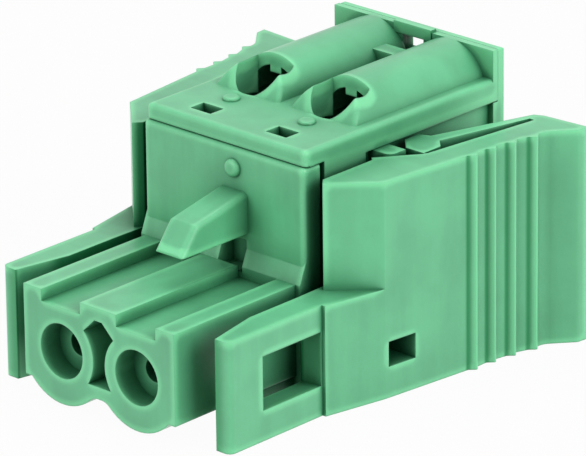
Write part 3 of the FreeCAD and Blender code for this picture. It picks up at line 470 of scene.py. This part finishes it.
class ButtonLook(bpy.types.PropertyGroup):
    colour: colour_setting("Colour", "Colour of the release buttons", (0.012, 0.012, 0.013))
    # Painted highlight: the edge colour, pallor and width paint lighter edges on the buttons.
    edge_colour: colour_setting(
        "Edge colour", "Colour of the buttons' highlighted edges", (0.05, 0.05, 0.052)
    )
    # Painted shade: the crease and gap colours stand in for the shade in inner corners and deep in
    # gaps.
    crease_colour: colour_setting(
        "Crease colour", "Colour that the plastic takes in inner corners", (0.004, 0.004, 0.004)
    )
    gap_colour: colour_setting(
        "Gap colour", "Colour that the plastic takes deep in gaps", (0.002, 0.002, 0.002)
    )
    edge_pallor: share_setting("Edge pallor", "How strongly the edges take their own colour", 0.5)
    edge_width: length_setting("Edge width", "Width of the pale band along each edge", 0.26 * MM)
    edge_radius: length_setting("Edge radius", "Rounding of the buttons' edges", 0.08 * MM)
    # Painted shade: how strongly inner corners and gaps are painted darker.
    crease_depth: share_setting("Crease depth", "How strongly inner corners darken", 0.5, 2.0)
    gap_reach: length_setting("Gap reach", "How far apart two faces darken each other", 3.2 * MM)
    gap_depth: share_setting("Gap depth", "How strongly gaps darken", 0.95, 2.0)
    roughness: share_setting("Roughness", "Roughness of the buttons", 0.46)
    sheen: share_setting("Sheen", "Strength of the buttons' reflection", 0.5)
    skin: share_setting("Skin gloss", "Strength of the smooth skin that the mould leaves", 0.3)
    translucency: share_setting(
        "Translucency", "Share of light that scatters inside the plastic", 0.0
    )
    grain_scale: wave_setting("Grain scale", "Number of grain waves in one metre", 9000.0)
    grain_depth: length_setting("Grain depth", "Depth of the buttons' grain", 0.007 * MM)


class ContactLook(bpy.types.PropertyGroup):
    colour: colour_setting("Colour", "Colour of the tin plating", (0.66, 0.63, 0.57))
    roughness: share_setting("Roughness", "Roughness of the tin plating", 0.34)
    edge_radius: length_setting("Edge radius", "Rounding of the sheared edges", 0.05 * MM)
    mark_depth: length_setting("Mark depth", "Depth of the rolling marks", 0.003 * MM)


class SpringLook(bpy.types.PropertyGroup):
    colour: colour_setting("Colour", "Colour of the spring steel", (0.50, 0.49, 0.47))
    roughness: share_setting("Roughness", "Roughness of the spring steel", 0.26)
    edge_radius: length_setting("Edge radius", "Rounding of the sheared edges", 0.05 * MM)
    mark_depth: length_setting("Mark depth", "Depth of the rolling marks", 0.004 * MM)


class StageLook(bpy.types.PropertyGroup):
    floor_colour: colour_setting("Floor colour", "Colour of the floor", (0.54, 0.54, 0.54))
    floor_glow: share_setting(
        "Floor glow", "How far the camera sees the floor as plain white", 0.96
    )
    mirrored_floor: share_setting(
        "Floor in reflections", "How white the floor is in the plastic's soft reflections", 1.0
    )
    mirrored_room: share_setting(
        "Room in reflections", "How white the room is in the plastic's soft reflections", 0.25
    )
    fill: share_setting("Fill light", "Strength of the even light from all sides", 0.52, 2.0)
    key_power: power_setting(
        "Key light", "Power of the large soft light on the right of the camera", 0.50
    )
    top_power: power_setting("Top light", "Power of the soft light overhead", 0.24)
    front_power: power_setting(
        "Front light", "Power of the soft light in front of the sockets", 0.30
    )
    azimuth: angle_setting(
        "Camera azimuth",
        "Angle of the camera round the part, from straight in front of the sockets",
        43.115,
    )
    elevation: angle_setting("Camera elevation", "Angle of the camera above the horizon", 21.338)
    roll: angle_setting("Camera roll", "Turn of the camera about its own axis", -0.672)
    distance: length_setting(
        "Camera distance", "Distance from the camera to the point it looks at", 304.376 * MM
    )
    target: FloatVectorProperty(
        name="Camera target",
        description="Point that the camera looks at",
        size=3,
        subtype="XYZ",
        unit="LENGTH",
        precision=6,
        default=(0.227 * MM, 1.663 * MM, 6.116 * MM),
    )
    focal_pixels: FloatProperty(
        name="Focal length in pixels",
        description="Focal length of the camera, in pixels of the picture's width",
        default=6124.9,
    )


# Operators


class TERMINAL_BLOCK_OT_body(bpy.types.Operator):
    """Finishes the housing and its cover in satin green polyamide"""

    bl_idname = "terminal_block.body"
    bl_label = "Housing and cover"

    def execute(self, context):
        look = context.scene.terminal_green
        housing = moulded_plastic("housing_green", look, (850.0, 480.0, 110.0), slotted=True)
        dress(housing, "housing")
        dress(moulded_plastic("cover_green", look, (480.0, 420.0, 130.0)), "cover")
        return {"FINISHED"}


class TERMINAL_BLOCK_OT_levers(bpy.types.Operator):
    """Finishes the two side levers in satin green polyamide"""

    bl_idname = "terminal_block.levers"
    bl_label = "Side levers"

    def execute(self, context):
        look = context.scene.terminal_green
        plastic = moulded_plastic("lever_green", look, (90.0, 780.0, 80.0), ridged=True)
        dress(plastic, "lever_left", "lever_right")
        return {"FINISHED"}


class TERMINAL_BLOCK_OT_contacts(bpy.types.Operator):
    """Finishes the two contacts in tin-plated strip"""

    bl_idname = "terminal_block.contacts"
    bl_label = "Contacts"

    def execute(self, context):
        look = context.scene.terminal_contact
        strip = rolled_strip("tin_plated_strip", look, (9000.0, 350.0, 9000.0))
        dress(strip, "contact_left", "contact_right")
        return {"FINISHED"}


class TERMINAL_BLOCK_OT_springs(bpy.types.Operator):
    """Finishes the two clamp springs in bright spring steel"""

    bl_idname = "terminal_block.springs"
    bl_label = "Clamp springs"

    def execute(self, context):
        look = context.scene.terminal_spring
        strip = rolled_strip("spring_strip", look, (11000.0, 500.0, 500.0))
        dress(strip, "clamp_spring_left", "clamp_spring_right")
        return {"FINISHED"}


class TERMINAL_BLOCK_OT_buttons(bpy.types.Operator):
    """Finishes the two release buttons in black plastic"""

    bl_idname = "terminal_block.buttons"
    bl_label = "Release buttons"

    def execute(self, context):
        look = context.scene.terminal_button
        plastic = moulded_plastic("button_black", look, (300.0, 300.0, 300.0))
        dress(plastic, "release_button_left", "release_button_right")
        return {"FINISHED"}


class TERMINAL_BLOCK_OT_stage(bpy.types.Operator):
    """Sets the pale floor, the soft studio light and the camera"""

    bl_idname = "terminal_block.stage"
    bl_label = "Studio stage"

    FLOOR_REACH = 3.0
    LAMP_AIM = Vector((0, 0, 6 * MM))

    def execute(self, context):
        look = context.scene.terminal_stage
        self.lay_floor(context, look)
        self.light_room(context, look)
        self.hang_lamp(context, "key_light", look.key_power, (0.27, 0.02, 0.15), 0.18)
        self.hang_lamp(context, "top_light", look.top_power, (-0.06, 0.04, 0.26), 0.20)
        self.hang_lamp(context, "front_light", look.front_power, (-0.08, -0.28, 0.10), 0.18)
        self.set_camera(context, look)
        context.scene.view_settings.view_transform = "Standard"
        return {"FINISHED"}

    def background_rays(self, made, mirrored):
        """1 for rays that should see the white background, and a share of that for reflections."""
        seen = made.node("ShaderNodeLightPath", output="Is Camera Ray")
        through = made.node("ShaderNodeLightPath", output="Is Transmission Ray")
        reflected = made.node("ShaderNodeLightPath", output="Is Glossy Ray")
        return (seen + through + reflected * mirrored).clamped()

    def lay_floor(self, context, look):
        mesh = bpy.data.meshes.new("studio_floor")
        reach = self.FLOOR_REACH
        corners = [(-reach, -reach, 0), (reach, -reach, 0), (reach, reach, 0), (-reach, reach, 0)]
        mesh.from_pydata(corners, [], [(0, 1, 2, 3)])
        floor = bpy.data.objects.new("studio_floor", mesh)
        context.scene.collection.objects.link(floor)
        # Keeps the floor out of the painted shade of the part's gaps and creases
        floor.visible_shadow = False
        mesh.materials.append(self.floor_paint(look))

    def floor_paint(self, look):
        made = new_finish("pale_floor")
        seen = self.background_rays(made, look.mirrored_floor)
        mottle = made.noise(60.0, 2.0)
        paint = made.mix(mottle, rgba(look.floor_colour, 0.99), rgba(look.floor_colour, 1.01))
        matt = made.node("ShaderNodeBsdfDiffuse", values={"Color": paint})
        glow = made.node("ShaderNodeEmission", values={"Color": (1, 1, 1, 1), "Strength": 1.0})
        sockets = {0: seen * look.floor_glow, 1: matt, 2: glow}
        blend = made.node("ShaderNodeMixShader", values=sockets)
        made.node("ShaderNodeOutputMaterial", values={"Surface": blend})
        return made.holder

    def light_room(self, context, look):
        room = Finish(bpy.data.worlds.new("studio_room"))
        strength = look.fill + self.background_rays(room, look.mirrored_room) * (1.0 - look.fill)
        sockets = {"Color": (1, 1, 1, 1), "Strength": strength}
        lit = room.node("ShaderNodeBackground", values=sockets)
        room.node("ShaderNodeOutputWorld", values={"Surface": lit})
        context.scene.world = room.holder

    def hang_lamp(self, context, name, power, place, side):
        lamp = bpy.data.lights.new(name, "AREA")
        lamp.energy = power
        lamp.size = side
        holder = bpy.data.objects.new(name, lamp)
        holder.location = place
        aim = self.LAMP_AIM - Vector(place)
        holder.rotation_euler = aim.to_track_quat("-Z", "Y").to_euler()
        context.scene.collection.objects.link(holder)

    def set_camera(self, context, look):
        camera = bpy.data.cameras.new("studio_camera")
        camera.sensor_width = SENSOR_WIDTH
        camera.lens = look.focal_pixels / FRAME_WIDTH * SENSOR_WIDTH
        camera.clip_start = 0.01
        camera.clip_end = 20.0
        around, above = look.azimuth, look.elevation
        outward = Vector((math.sin(around), -math.cos(around), 0))
        back = outward * math.cos(above) + Vector((0, 0, math.sin(above)))
        level = Vector((math.cos(around), math.sin(around), 0))
        upright = back.cross(level)
        turn, lean = math.cos(look.roll), math.sin(look.roll)
        right = level * turn + upright * lean
        up = upright * turn - level * lean
        matrix = Matrix((right, up, back)).transposed().to_4x4()
        matrix.translation = Vector(look.target) + back * look.distance
        holder = bpy.data.objects.new("studio_camera", camera)
        holder.matrix_world = matrix
        context.scene.collection.objects.link(holder)
        context.scene.camera = holder


class TERMINAL_BLOCK_PT_finishes(bpy.types.Panel):
    """Lists the finishes of the part and its stage"""

    bl_idname = "TERMINAL_BLOCK_PT_finishes"
    bl_label = "Terminal block"
    bl_space_type = "VIEW_3D"
    bl_region_type = "UI"
    bl_category = "Terminal block"

    def draw(self, context):
        for operator, setting in STEPS:
            box = self.layout.box()
            box.operator(operator.bl_idname)
            look = getattr(context.scene, setting)
            for name in look.bl_rna.properties.keys():
                if name not in ("rna_type", "name"):
                    box.prop(look, name)


SETTINGS = {
    "terminal_green": PlasticLook,
    "terminal_contact": ContactLook,
    "terminal_spring": SpringLook,
    "terminal_button": ButtonLook,
    "terminal_stage": StageLook,
}
STEPS = (
    (TERMINAL_BLOCK_OT_stage, "terminal_stage"),
    (TERMINAL_BLOCK_OT_body, "terminal_green"),
    (TERMINAL_BLOCK_OT_levers, "terminal_green"),
    (TERMINAL_BLOCK_OT_contacts, "terminal_contact"),
    (TERMINAL_BLOCK_OT_springs, "terminal_spring"),
    (TERMINAL_BLOCK_OT_buttons, "terminal_button"),
)


def register():
    for group in SETTINGS.values():
        bpy.utils.register_class(group)
    for operator, _ in STEPS:
        bpy.utils.register_class(operator)
    bpy.utils.register_class(TERMINAL_BLOCK_PT_finishes)
    for name, group in SETTINGS.items():
        setattr(bpy.types.Scene, name, PointerProperty(type=group))


def unregister():
    for name in SETTINGS:
        delattr(bpy.types.Scene, name)
    bpy.utils.unregister_class(TERMINAL_BLOCK_PT_finishes)
    for operator, _ in reversed(STEPS):
        bpy.utils.unregister_class(operator)
    for group in reversed(SETTINGS.values()):
        bpy.utils.unregister_class(group)


def main():
    register()
    bpy.ops.terminal_block.stage()
    bpy.ops.terminal_block.body()
    bpy.ops.terminal_block.levers()
    bpy.ops.terminal_block.contacts()
    bpy.ops.terminal_block.springs()
    bpy.ops.terminal_block.buttons()


if __name__ == "__main__":
    main()
